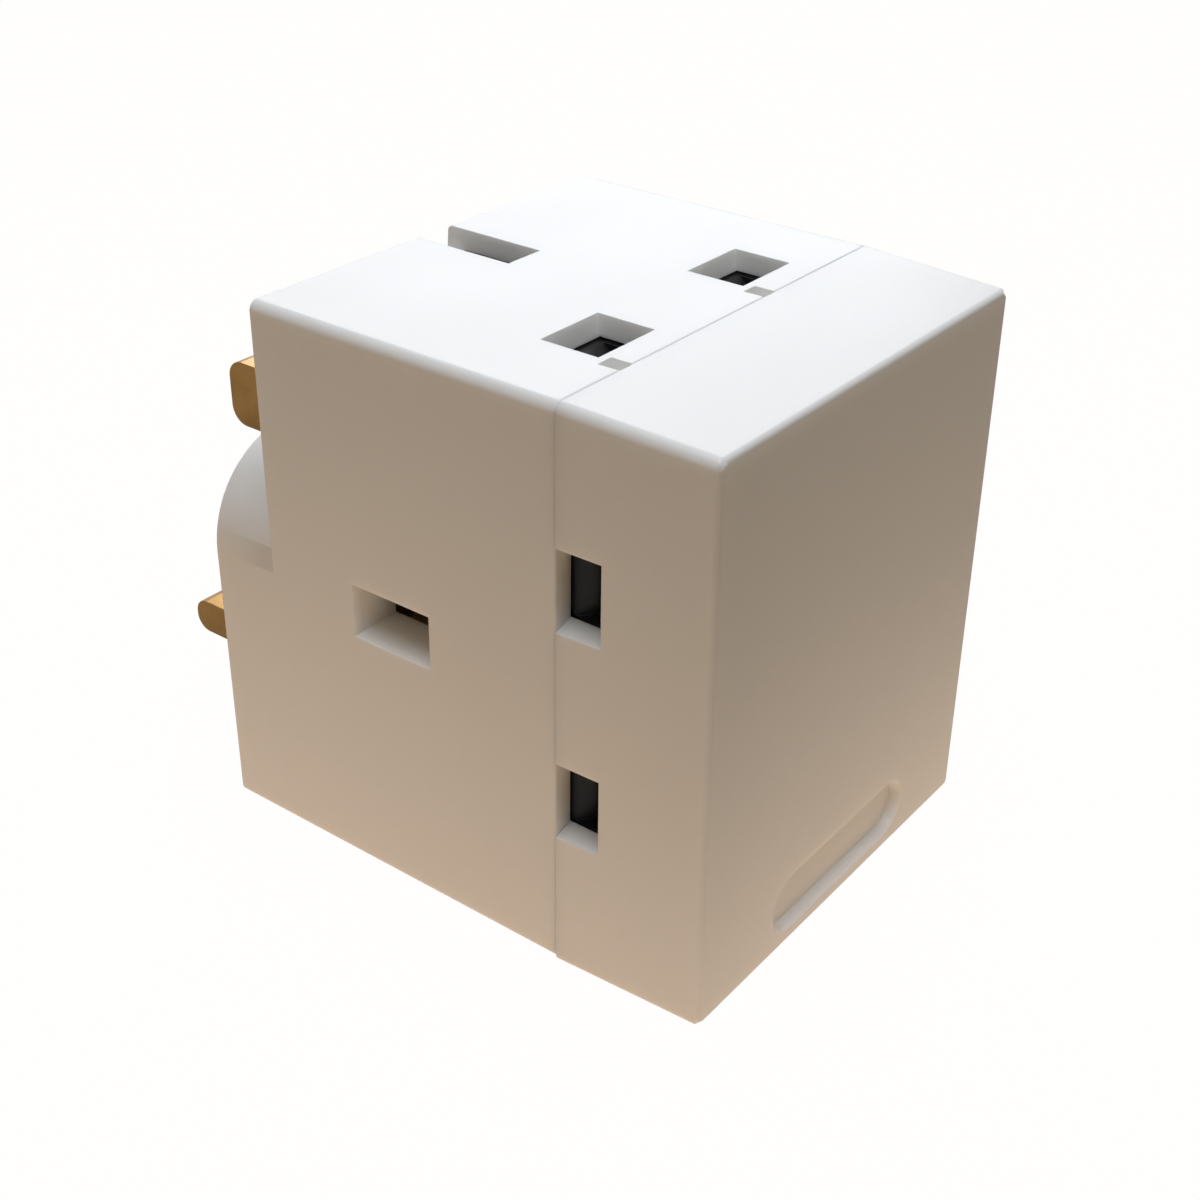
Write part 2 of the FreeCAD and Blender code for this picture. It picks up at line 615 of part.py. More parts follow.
def make_side_rails(body):
    """Rails for the side shutters, each with a stop that holds the closed plate."""
    front = side_line_y - shutter_breadth / 2 - shutter_gap
    reach = shutter_gap + shutter_thickness
    for side, across in (("left", -1), ("right", 1)):
        for name, along in (("lower", -1), ("upper", 1)):
            rail = rail_outline(along, side_z, inner_x * across, across)
            turned = [(face, place) for place, face in rail]
            pad(body, f"{side}_rail_{name}", "Y", turned, front - rail_thickness, seam_y)
            first, last = sorted([(inner_x - reach) * across, (inner_x + run_out) * across], key=length_of)
            far, close = shutter_length / 2 * along, (shutter_length / 2 - stop_length) * along
            low, high = sorted([far, close], key=length_of)
            stop = rectangle(first, last, side_z + low, side_z + high)
            pad(body, f"{side}_stop_{name}", "Y", stop, front - rail_thickness, front)


def make_recess(body):
    half_length, half_height = recess_length / 2, recess_height / 2
    middle = base_z + recess_rise
    outer = rectangle(recess_shift - half_length, recess_shift + half_length, middle - half_height,
                      middle + half_height, half_height * 0.985)
    inner_half = half_height - recess_slope
    inner = rectangle(recess_shift - half_length + recess_slope, recess_shift + half_length - recess_slope,
                      middle - inner_half, middle + inner_half, inner_half * 0.985)
    cut_loft(body, "recess", "Y", outer, front_y, inner, front_y + recess_depth)


# Pins and sleeves

def make_live_pin(label, across):
    """Line or neutral pin: reduced where the sleeve covers it, with a collar and a tongue inside."""
    body = new_body(label)
    middle = live_x * across
    half_w, half_t = live_width / 2, pin_thickness / 2
    core = rectangle(middle - half_w + sleeve_wall, middle + half_w - sleeve_wall, sleeve_wall - half_t,
                     half_t - sleeve_wall)
    pad(body, "core", "Y", core, -face_wall, sleeve_length)
    tip = rectangle(middle - half_w, middle + half_w, -half_t, half_t)
    pad(body, "tip", "Y", tip, sleeve_length, live_length)
    dress_edges(body, "Fillet", "rounded_tip", live_tip,
                lambda box: near(box.YMin, live_length.value) and near(box.ZMin, box.ZMax))
    collar = rectangle(middle - half_w - collar_proud, middle + half_w + collar_proud,
                       -half_t - collar_proud, half_t + collar_proud)
    pad(body, "collar", "Y", collar, collar_y, -face_wall)
    tongue = rectangle(middle - half_w, middle + half_w, foot_top, half_t)
    pad(body, "tongue", "Y", tongue, collar_y - tongue_depth, collar_y)
    cut_disc(body, "rivet_hole", "Z", (middle, live_rivet_y), rivet_hole, foot_top - run_out,
             half_t + run_out)


def make_earth_pin():
    body = new_body("earth_pin")
    half_w, half_t = earth_width / 2, pin_thickness / 2
    shaft = rectangle(-half_t, half_t, earth_z - half_w, earth_z + half_w)
    pad(body, "shaft", "Y", shaft, -face_wall, earth_length)
    dress_edges(body, "Fillet", "rounded_tip", earth_tip,
                lambda box: near(box.YMin, earth_length.value) and near(box.ZMin, box.ZMax))
    collar = rectangle(-half_t - collar_proud, half_t + collar_proud, earth_z - half_w - collar_proud,
                       earth_z + half_w + collar_proud)
    pad(body, "collar", "Y", collar, collar_y, -face_wall)
    tongue = rectangle(foot_top, half_t, earth_z - half_w, earth_z - half_w + earth_tongue_height)
    pad(body, "tongue", "Y", tongue, collar_y - earth_tongue_depth, collar_y)
    cut_disc(body, "rivet_hole", "X", (earth_rivet_y, earth_rivet_z), rivet_hole, foot_top - run_out,
             half_t + run_out)


def make_sleeve(label, across):
    body = new_body(label)
    middle = live_x * across
    half_w, half_t = live_width / 2, pin_thickness / 2
    outside = rectangle(middle - half_w, middle + half_w, -half_t, half_t)
    pad(body, "outside", "Y", outside, -face_wall, sleeve_length)
    inside = rectangle(middle - half_w + sleeve_wall, middle + half_w - sleeve_wall,
                       sleeve_wall - half_t, half_t - sleeve_wall)
    cut(body, "inside", "Y", inside, -face_wall - run_out, sleeve_length + run_out)


# Fuse, carrier and fuse clips

def turned_body(label, profile):
    """A piece turned about its own X axis from a profile of (x, radius) corners, on the fuse's axis."""
    body = new_body(label)
    sketch = outline(body, "profile", "XY_Plane", profile, ORIGIN)
    turned = body.newObject("PartDesign::Revolution", "turned")
    turned.Profile = sketch
    turned.ReferenceAxis = (sketch, ["H_Axis"])
    turned.Angle = 360
    place_body(body, (ORIGIN, fuse_y, fuse_height), FreeCAD.Rotation())
    return body


def make_fuse():
    inner_end = fuse_length / 2 - fuse_cap_wall * 2
    bore = fuse_tube_radius * 0.7
    turned_body("fuse_tube", [(-inner_end, bore), (inner_end, bore), (inner_end, fuse_tube_radius),
                              (-inner_end, fuse_tube_radius)])
    for side, across in (("left", -1), ("right", 1)):
        end, mouth = fuse_length / 2 * across, (fuse_length / 2 - fuse_cap_length) * across
        bottom = inner_end * across
        turned_body(f"fuse_cap_{side}", [(end, ORIGIN), (end, fuse_radius), (mouth, fuse_radius),
                                         (mouth, fuse_tube_radius), (bottom, fuse_tube_radius),
                                         (bottom, ORIGIN)])


def make_fuse_carrier():
    body = new_body("fuse_carrier")
    half_length, half_height = carrier_length / 2, carrier_height / 2
    plate = rectangle(-half_length, half_length, fuse_height - half_height, fuse_height + half_height,
                      carrier_corner)
    pad(body, "plate", "Y", plate, -carrier_plate, ORIGIN)
    reach = fuse_tube_radius + fuse_gap + cradle_wall
    cradle = rectangle(-cradle_length / 2, cradle_length / 2, fuse_height - reach, fuse_height + reach)
    pad(body, "cradle", "Y", cradle, fuse_y - cradle_hook, -carrier_plate + run_out)
    cut_disc(body, "cradle_bore", "X", (fuse_y, fuse_height), fuse_tube_radius + fuse_gap,
             -cradle_length / 2 - run_out, cradle_length / 2 + run_out)
    for side, across in (("left", -1), ("right", 1)):
        end = half_length * across
        low, high = (end - run_out, end + run_out * 3) if across < 0 else (end - run_out * 3, end + run_out)
        slot = rectangle(low, high, fuse_height - cradle_hook, fuse_height + cradle_hook)
        cut(body, f"pry_slot_{side}", "Y", slot, -carrier_plate / 2, run_out)


def fuse_clip_leaves(body, low_x, high_x):
    """Two leaves that grip a fuse cap above and below."""
    inside = fuse_radius + fuse_gap
    for name, low, high in (("lower", -inside - leaf, -inside), ("upper", inside, inside + leaf)):
        leaf_outline = rectangle(low_x, high_x, fuse_web_y - leaf, fuse_y + fuse_radius * 0.6)
        pad(body, f"{name}_leaf", "Z", leaf_outline, fuse_height + low, fuse_height + high)


fuse_clip_x = fuse_length / 2 - fuse_cap_length / 2
fuse_clip_half = fuse_cap_length / 2 - fuse_cap_wall * 2
fuse_clip_reach = fuse_radius + fuse_gap + leaf
strip_back_y = fuse_web_y - leaf
lap_end_y = collar_y - strip / 2
live_rivet_y = collar_y - tongue_depth / 2
earth_rivet_y = collar_y - earth_tongue_depth / 2
earth_rivet_z = earth_z - earth_width / 2 + earth_tongue_height / 2


def make_fuse_clips():
    body = new_body("fuse_clip_line_bar")
    low_x, high_x = -fuse_clip_x - fuse_clip_half, -fuse_clip_x + fuse_clip_half
    web = rectangle(low_x, high_x, fuse_height - fuse_clip_reach, fuse_height + fuse_clip_reach)
    pad(body, "web", "Y", web, strip_back_y, fuse_web_y)
    fuse_clip_leaves(body, low_x, high_x)
    cut_disc(body, "rivet_hole", "Y", (-fuse_clip_x, fuse_height), rivet_hole, strip_back_y - run_out,
             fuse_web_y + run_out)
    body = new_body("fuse_clip_line_pin")
    low_x, high_x = fuse_clip_x - fuse_clip_half, fuse_clip_x + fuse_clip_half
    web = rectangle(low_x, high_x, foot_top - leaf, fuse_height + fuse_clip_reach)
    pad(body, "web", "Y", web, strip_back_y, fuse_web_y)
    fuse_clip_leaves(body, low_x, high_x)
    foot = rectangle(low_x, live_x + live_width / 2, strip_back_y, lap_end_y)
    pad(body, "foot", "Z", foot, foot_top - leaf, foot_top)
    cut_disc(body, "rivet_hole", "Z", (live_x, live_rivet_y), rivet_hole, foot_top - leaf - run_out,
             foot_top + run_out)


# Contact clips

def make_clip(label, height, outlet, along, towards_earth, depth, grip_turn):
    """A folded clip whose web lies below the outlet and whose leaves open towards its face."""
    body = new_body(label)
    pinch_height = height - clip_flare
    half = [(clip_root + leaf, ORIGIN), (clip_pinch + leaf, pinch_height), (clip_mouth + leaf, height),
            (clip_mouth, height), (clip_pinch, pinch_height), (clip_root, leaf)]
    profile = half + [(-across, up) for across, up in reversed(half)]
    pad(body, "folded", "X", profile, -clip_width / 2, clip_width / 2)
    if label != "top_earth_clip":
        cut_disc(body, "rivet_hole", "Z", (ORIGIN, ORIGIN), rivet_hole, -run_out, leaf + run_out)
    place, rotation = outlet_point(outlet, along, towards_earth, depth)
    place_body(body, place, rotation.multiply(FreeCAD.Rotation(FreeCAD.Vector(0, 0, 1), grip_turn)))


def outlet_point(outlet, along, towards_earth, depth):
    """A point below an outlet's face. Its own X runs from neutral to line, Y to earth, Z outwards."""
    up, wall_way = FreeCAD.Vector(0, 0, 1), FreeCAD.Vector(0, 1, 0)
    if outlet == "top":
        place = (as_size(along), top_line_y + towards_earth, top_z - depth)
        return place, FreeCAD.Rotation()
    across = -1 if outlet == "left" else 1
    place = ((half_width - depth) * across, side_line_y + towards_earth, side_z - as_size(along) * across)
    outward = FreeCAD.Vector(across, 0, 0)
    return place, FreeCAD.Rotation(wall_way.cross(outward), wall_way, outward, "ZYX")


def make_clips():
    for outlet in ("left", "right", "top"):
        if outlet == "top":
            live_depth = top_z - shelf_height - strip
            earth_depth, setback = top_z - earth_shelf_top, top_earth_setback
        else:
            live_depth = half_width - web_offset
            earth_depth, setback = half_width - strip / 2, earth_clip_setback
        for line, along in (("line", live_x), ("neutral", -live_x)):
            make_clip(f"{outlet}_{line}_clip", live_depth - clip_setback, outlet, along, ORIGIN, live_depth, 0)
        make_clip(f"{outlet}_earth_clip", earth_depth - setback, outlet, ORIGIN, pin_spacing,
                  earth_depth, 90)


# Busbars

earth_bar_top = earth_z - earth_width / 2 + earth_tongue_height
earth_shelf_top = earth_bar_top + strip
upper_z, lower_z = side_z + live_x, side_z - live_x
half_strip, half_clip = strip_width / 2, clip_width / 2
shelf_top = shelf_height + strip
tab_reach = clip_root + leaf


def bar_tab(body, name, across, middle, low_y, high_y):
    """A tab folded out of a bar, on which a side clip's web lies."""
    outer, inner = web_offset * across, (web_offset - strip) * across
    low_x, high_x = (outer, inner) if across < 0 else (inner, outer)
    tab = rectangle(low_y, high_y, middle - half_clip, middle + half_clip)
    pad(body, name, "X", tab, low_x, high_x)
    cut_disc(body, name + "_hole", "X", (side_line_y, middle), rivet_hole, low_x - run_out, high_x + run_out)


def make_neutral_busbar():
    body = new_body("neutral_busbar")
    back, front = neutral_bar_y, neutral_bar_y - strip
    foot_left = -live_x - live_width / 2
    shelf_left = -live_x - half_strip
    plate = [(foot_left, -half_strip), (half_strip, -half_strip), (half_strip, upper_z - half_clip),
             (web_offset, upper_z - half_clip), (web_offset, upper_z + half_clip),
             (-half_strip, upper_z + half_clip), (-half_strip, shelf_top), (shelf_left, shelf_top),
             (shelf_left, shelf_top - strip_width), (-half_strip, shelf_top - strip_width),
             (-half_strip, lower_z + half_clip), (-web_offset, lower_z + half_clip),
             (-web_offset, lower_z - half_clip), (-half_strip, lower_z - half_clip),
             (-half_strip, foot_top), (foot_left, foot_top)]
    pad(body, "plate", "Y", plate, front, back)
    bar_tab(body, "upper_tab", 1, upper_z, back - run_out, side_line_y + tab_reach)
    bar_tab(body, "lower_tab", -1, lower_z, back - run_out, side_line_y + tab_reach)
    shelf = rectangle(shelf_left, -live_x + half_strip, back - run_out, top_line_y + tab_reach)
    pad(body, "shelf", "Z", shelf, shelf_height, shelf_top)
    cut_disc(body, "shelf_hole", "Z", (-live_x, top_line_y), rivet_hole, shelf_height - run_out,
             shelf_top + run_out)
    foot = rectangle(foot_left, -live_x + live_width / 2, back - run_out, lap_end_y)
    pad(body, "foot", "Z", foot, -foot_top, foot_top)
    cut_disc(body, "foot_hole", "Z", (-live_x, live_rivet_y), rivet_hole, -foot_top - run_out,
             foot_top + run_out)


def make_line_busbar():
    body = new_body("line_busbar")
    back, front = line_bar_y + strip, line_bar_y
    shelf_right = live_x + half_strip
    arm_left, arm_right = -fuse_clip_x - half_strip, -fuse_clip_x + half_strip
    arm_top = fuse_height - half_strip + strip
    plate = [(-half_strip, lower_z - half_clip), (web_offset, lower_z - half_clip),
             (web_offset, lower_z + half_clip), (half_strip, lower_z + half_clip),
             (half_strip, shelf_top - strip_width), (shelf_right, shelf_top - strip_width),
             (shelf_right, shelf_top), (half_strip, shelf_top), (half_strip, upper_z + half_clip),
             (-web_offset, upper_z + half_clip), (-web_offset, upper_z - half_clip),
             (-half_strip, upper_z - half_clip), (-half_strip, arm_top), (arm_left, arm_top),
             (arm_left, arm_top - half_strip), (-half_strip, arm_top - half_strip)]
    pad(body, "plate", "Y", plate, front, back)
    bar_tab(body, "upper_tab", -1, upper_z, side_line_y - tab_reach, front + run_out)
    bar_tab(body, "lower_tab", 1, lower_z, side_line_y - tab_reach, front + run_out)
    shelf = rectangle(live_x - half_strip, shelf_right, back - run_out, top_line_y + tab_reach)
    pad(body, "shelf", "Z", shelf, shelf_height, shelf_top)
    cut_disc(body, "shelf_hole", "Z", (live_x, top_line_y), rivet_hole, shelf_height - run_out,
             shelf_top + run_out)
    arm = rectangle(arm_left, arm_right, back - run_out, strip_back_y)
    pad(body, "fuse_arm", "Z", arm, arm_top - strip, arm_top)
    end = rectangle(arm_left, arm_right, fuse_height - half_strip, fuse_height + half_strip)
    pad(body, "fuse_tab", "Y", end, strip_back_y - strip, strip_back_y)
    cut_disc(body, "fuse_tab_hole", "Y", (-fuse_clip_x, fuse_height), rivet_hole,
             strip_back_y - strip - run_out * 2, strip_back_y + run_out)


def make_earth_busbar():
    """A strip on edge: the side clips lie back to back on it, the top clip on two folded tabs."""
    body = new_body("earth_busbar")
    side_earth_y, top_earth_y = side_line_y + pin_spacing, top_line_y + pin_spacing
    back, front = top_earth_y + half_clip, side_earth_y - half_clip
    tongue_low = earth_z - earth_width / 2
    low = earth_bar_top - strip_width
    plate = [(front, low), (back, low), (back, tongue_low), (lap_end_y, tongue_low),
             (lap_end_y, earth_bar_top), (front, earth_bar_top)]
    pad(body, "plate", "X", plate, -strip / 2, strip / 2)
    left_tab = rectangle(-tab_reach, strip / 2, top_earth_y - half_clip, top_earth_y)
    right_tab = rectangle(-strip / 2, tab_reach, top_earth_y, top_earth_y + half_clip)
    pad(body, "left_tab", "Z", left_tab, earth_bar_top, earth_shelf_top)
    pad(body, "right_tab", "Z", right_tab, earth_bar_top, earth_shelf_top)
    cut_disc(body, "clip_hole", "X", (side_earth_y, side_z), rivet_hole, -strip / 2 - run_out,
             strip / 2 + run_out)
    cut_disc(body, "tongue_hole", "X", (earth_rivet_y, earth_rivet_z), rivet_hole, -strip / 2 - run_out,
             strip / 2 + run_out)


# Shutters and springs

def make_shutter(label, outlet):
    """Plate behind the two slots, with a ramp under each that its pin pushes aside."""
    body = new_body(label)
    face = -((top_wall if outlet == "top" else wall) + shutter_gap)
    back = face - shutter_thickness
    half_length, half_breadth = shutter_length / 2, shutter_breadth / 2
    plate = rectangle(-half_length, half_length, -half_breadth, half_breadth)
    pad(body, "plate", "Z", plate, back, face)
    start, end = pin_thickness / 2, pin_thickness / 2 - ramp_run
    deep = face - ramp_run
    ramp = [(start + run_out, face), (start, face), (end, deep), (end, deep - ramp_lip),
            (end + ramp_lip, deep - ramp_lip), (start, back), (start + run_out, back)]
    for side, across in (("left", -1), ("right", 1)):
        low, high = live_x * across - ramp_width / 2, live_x * across + ramp_width / 2
        way = rectangle(low, high, -half_breadth - run_out, start)
        cut(body, f"{side}_way", "Z", way, back - run_out, face + run_out)
        pad(body, f"{side}_ramp", "X", ramp, low, high)
    axis = face - spring_drop
    lug = rectangle(-lug_width / 2, lug_width / 2, ORIGIN, half_breadth)
    pad(body, "spring_lug", "Z", lug, axis - spring_radius - spring_wire * 2, back + run_out)
    pad_disc(body, "spigot", "Y", (ORIGIN, axis), spigot_radius, half_breadth - run_out,
             half_breadth + spigot_length)
    place, rotation = outlet_point(outlet, ORIGIN, ORIGIN, ORIGIN)
    place_body(body, place, rotation)


def make_spring(label, outlet):
    """A coil of straight lengths of wire, from the shutter's lug to its seat in the housing."""
    start = shutter_breadth / 2 + spring_wire + fuse_gap
    run = spring_length - (spring_wire + fuse_gap) * 2
    drop = (top_wall if outlet == "top" else wall) + shutter_gap + spring_drop
    steps = 8
    radius, wire = length_of(spring_radius), length_of(spring_wire)
    points = []
    for step in range(spring_turns * steps + 1):
        angle = 2 * math.pi * step / steps
        along = length_of(start) + length_of(run) * step / (spring_turns * steps)
        points.append(FreeCAD.Vector(radius * math.cos(angle), along, radius * math.sin(angle)))
    heading = (points[1] - points[0]).normalize()
    side = heading.cross(FreeCAD.Vector(0, 1, 0)).normalize()
    rise = heading.cross(side)
    ring = []
    for corner in range(7):
        angle = 2 * math.pi * corner / 6
        ring.append(points[0] + side * (wire * math.cos(angle)) + rise * (wire * math.sin(angle)))
    coil = Part.makePolygon(points).makePipeShell([Part.makePolygon(ring)], True, False, 1)
    place, rotation = outlet_point(outlet, ORIGIN, ORIGIN, drop)
    feature = doc.addObject("Part::Feature", label)
    feature.Label = label
    feature.Shape = coil
    feature.Placement = FreeCAD.Placement(FreeCAD.Vector(*(length_of(number) for number in place)), rotation)
    parts[label] = feature


# Fasteners, each kind one group

def prism(radius, low, high, sides):
    """A round bar of flat sides, along Z."""
    corners = []
    for corner in range(sides + 1):
        angle = 2 * math.pi * corner / sides
        corners.append(FreeCAD.Vector(radius * math.cos(angle), radius * math.sin(angle), low))
    return Part.Face(Part.makePolygon(corners)).extrude(FreeCAD.Vector(0, 0, high - low))


def placed(solid, place, axis):
    solid.Placement = FreeCAD.Placement(FreeCAD.Vector(*(length_of(number) for number in place)),
                                        FreeCAD.Rotation(FreeCAD.Vector(0, 0, 1), FreeCAD.Vector(*axis)))
    return solid


def rivet(place, axis, grip):
    """A rivet whose two heads close on the sheets between them."""
    shank, head, height = (length_of(number) for number in (rivet_radius, rivet_head, rivet_head_height))
    grip = length_of(grip)
    solid = prism(shank, 0, grip, 12).fuse(prism(head, -height, 0, 12)).fuse(prism(head, grip, grip + height, 12))
    return placed(solid.removeSplitter().Solids[0], place, axis)


def make_rivets():
    places = []
    for middle, across in ((upper_z, -1), (upper_z, 1), (lower_z, -1), (lower_z, 1)):
        places.append((((web_offset - strip) * across, side_line_y, middle), (across, 0, 0), strip + leaf))
    for across in (-1, 1):
        places.append(((live_x * across, top_line_y, shelf_height), (0, 0, 1), strip + leaf))
    places.append(((-(strip / 2 + leaf), side_line_y + pin_spacing, side_z), (1, 0, 0), strip + leaf * 2))
    places.append(((-live_x, live_rivet_y, -foot_top), (0, 0, 1), strip + pin_thickness / 2 - foot_top))
    places.append(((live_x, live_rivet_y, foot_top - leaf), (0, 0, 1), leaf + pin_thickness / 2 - foot_top))
    places.append(((-foot_top, earth_rivet_y, earth_rivet_z), (1, 0, 0), strip + pin_thickness / 2 - foot_top))
    places.append(((-fuse_clip_x, strip_back_y - strip, fuse_height), (0, 1, 0), strip + leaf))
    group("contact_rivets", [rivet(*place) for place in places])


def group(label, solids):
    feature = doc.addObject("Part::Feature", label)
    feature.Label = label
    feature.Shape = Part.makeCompound(solids)
    parts[label] = feature


def make_screws():
    shank, head, height = (length_of(number) for number in (screw_radius, screw_head, screw_head_height))
    length, slot = length_of(screw_length), length_of(screw_radius)
    screws = []
    for x, z, opening in screw_places:
        screw = prism(shank, -length, 0, 16).fuse(prism(head, 0, height, 16))
        for long_way, short_way in ((slot, slot / 3), (slot / 3, slot)):
            corner = FreeCAD.Vector(-long_way, -short_way, height - slot * 0.8)
            screw = screw.cut(Part.makeBox(long_way * 2, short_way * 2, slot, corner))
        screws.append(placed(screw.removeSplitter().Solids[0], (x, seam_y + post_web, z), (0, 1, 0)))
    group("casing_screws", screws)


def make_all():
    doc.recompute()
    make_rear_housing()
    make_front_cover()
    make_live_pin("line_pin", 1)
    make_live_pin("neutral_pin", -1)
    make_earth_pin()
    make_sleeve("line_pin_sleeve", 1)
    make_sleeve("neutral_pin_sleeve", -1)
    make_fuse()
    make_fuse_carrier()
    make_fuse_clips()
    make_line_busbar()
    make_neutral_busbar()
    make_earth_busbar()
    make_clips()
    for outlet in ("left", "right", "top"):
        make_shutter(f"{outlet}_shutter", outlet)
        make_spring(f"{outlet}_shutter_spring", outlet)
    make_rivets()
    make_screws()
    doc.recompute()


def write_all():
    """Every object has to have come out well before anything is written."""
    for item in doc.Objects:
        if "Invalid" in item.State or "Error" in item.State:
            raise RuntimeError(f"{item.Label} failed: {item.State}")
    for label, item in parts.items():
        shape = item.Shape
        if shape.isNull() or not shape.isValid() or not shape.Solids:
            raise RuntimeError(f"{label} has no good solid")
    os.makedirs("parts", exist_ok=True)
    for label, item in parts.items():
        item.Shape.exportStep(os.path.join("parts", label + ".step"))
        print(f"{label}: {len(item.Shape.Solids)} solid, {item.Shape.Volume:.1f} mm3")


make_all()
write_all()
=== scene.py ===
import math

import bpy
from mathutils import Matrix, Vector


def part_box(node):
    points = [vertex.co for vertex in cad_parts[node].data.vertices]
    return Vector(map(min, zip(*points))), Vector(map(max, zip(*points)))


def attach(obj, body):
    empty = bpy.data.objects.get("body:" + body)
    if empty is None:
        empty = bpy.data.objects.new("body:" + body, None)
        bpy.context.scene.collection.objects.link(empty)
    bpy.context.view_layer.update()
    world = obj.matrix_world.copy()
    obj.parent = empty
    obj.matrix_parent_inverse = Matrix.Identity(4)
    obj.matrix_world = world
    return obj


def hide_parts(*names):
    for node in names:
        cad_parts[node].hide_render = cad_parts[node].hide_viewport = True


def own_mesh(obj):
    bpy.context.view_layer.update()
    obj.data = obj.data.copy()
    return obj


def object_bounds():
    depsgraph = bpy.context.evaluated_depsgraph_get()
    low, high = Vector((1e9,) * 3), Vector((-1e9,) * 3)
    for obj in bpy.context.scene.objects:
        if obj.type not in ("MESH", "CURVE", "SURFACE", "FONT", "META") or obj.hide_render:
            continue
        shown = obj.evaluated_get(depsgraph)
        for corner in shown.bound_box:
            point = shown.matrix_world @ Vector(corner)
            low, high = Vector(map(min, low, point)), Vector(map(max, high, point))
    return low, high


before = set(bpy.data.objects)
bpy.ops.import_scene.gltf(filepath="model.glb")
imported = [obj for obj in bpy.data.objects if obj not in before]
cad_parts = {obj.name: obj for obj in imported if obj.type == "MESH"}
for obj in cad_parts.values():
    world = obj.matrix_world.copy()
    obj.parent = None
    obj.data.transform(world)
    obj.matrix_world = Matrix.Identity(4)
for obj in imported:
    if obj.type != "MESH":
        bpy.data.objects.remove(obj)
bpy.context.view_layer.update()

# Looks of a white cube adaptor with brass pins. Metres, in the row frame: +X right, +Y to the wall, +Z up.

MM = 0.001


# Materials

# The colour sockets of a Mix node, by number, because other data types have sockets of the same names.
FIRST_COLOUR, SECOND_COLOUR, MIXED_COLOUR = 6, 7, 2


def linear(hex_colour):
    """An sRGB hex value as the linear colour that a shader takes."""
    channels = [int(hex_colour[place:place + 2], 16) / 255 for place in (1, 3, 5)]
    return tuple(c / 12.92 if c <= 0.04045 else ((c + 0.055) / 1.055) ** 2.4 for c in channels) + (1.0,)


def add(tree, kind, sockets=None, **settings):
    """Adds a node with its settings, its socket values and its links."""
    made = tree.nodes.new(kind)
    for name, value in settings.items():
        setattr(made, name, value)
    for name, value in (sockets or {}).items():
        if isinstance(value, bpy.types.NodeSocket):
            tree.links.new(value, made.inputs[name])
        else:
            made.inputs[name].default_value = value
    return made


def shader(name, ior=None, metallic=0.0):
    """An empty material: its tree, its Principled shader and its Object coordinates in millimetres."""
    material = bpy.data.materials.new(name)
    material.use_nodes = True
    tree = material.node_tree
    surface = tree.nodes["Principled BSDF"]
    surface.inputs["Metallic"].default_value = metallic
    if ior:
        surface.inputs["IOR"].default_value = ior
    place = add(tree, "ShaderNodeTexCoord")
    in_mm = add(tree, "ShaderNodeMapping", {"Vector": place.outputs["Object"], "Scale": (1 / MM,) * 3})
    return material, tree, surface, in_mm.outputs["Vector"]


def moulded_plastic(name, colour, shade, roughness, grain_mm, grain_depth_mm, cloud_mm, ior, glow_mm=0.0):
    """Plastic from a polished or sparked mould: an even colour with faint flow clouds, a fine grain in the
    surface, and a gloss that varies a little where it has been handled. Pale ones let light in a little."""
    material, tree, surface, at = shader(name, ior)
    if glow_mm:
        surface.inputs["Subsurface Weight"].default_value = 0.6
        surface.inputs["Subsurface Radius"].default_value = (1.0, 0.95, 0.9)
        surface.inputs["Subsurface Scale"].default_value = glow_mm * MM
    clouds = add(tree, "ShaderNodeTexNoise", {"Vector": at, "Scale": 1 / cloud_mm, "Detail": 3.0})
    colours = add(tree, "ShaderNodeMix", {"Factor": clouds.outputs["Fac"], FIRST_COLOUR: linear(colour),
                                         SECOND_COLOUR: linear(shade)}, data_type="RGBA")
    tree.links.new(colours.outputs[MIXED_COLOUR], surface.inputs["Base Color"])
    handled_mm = cloud_mm * 0.6
    handled = add(tree, "ShaderNodeTexNoise", {"Vector": at, "Scale": 1 / handled_mm, "Detail": 5.0})
    gloss = add(tree, "ShaderNodeMapRange", {"Value": handled.outputs["Fac"],
                                            "To Min": roughness[0], "To Max": roughness[1]})
    tree.links.new(gloss.outputs["Result"], surface.inputs["Roughness"])
    grain = add(tree, "ShaderNodeTexNoise", {"Vector": at, "Scale": 1 / grain_mm, "Detail": 2.0})
    relief = add(tree, "ShaderNodeBump", {"Height": grain.outputs["Fac"], "Strength": 0.6,
                                         "Distance": grain_depth_mm * MM})
    tree.links.new(relief.outputs["Normal"], surface.inputs["Normal"])
    return material


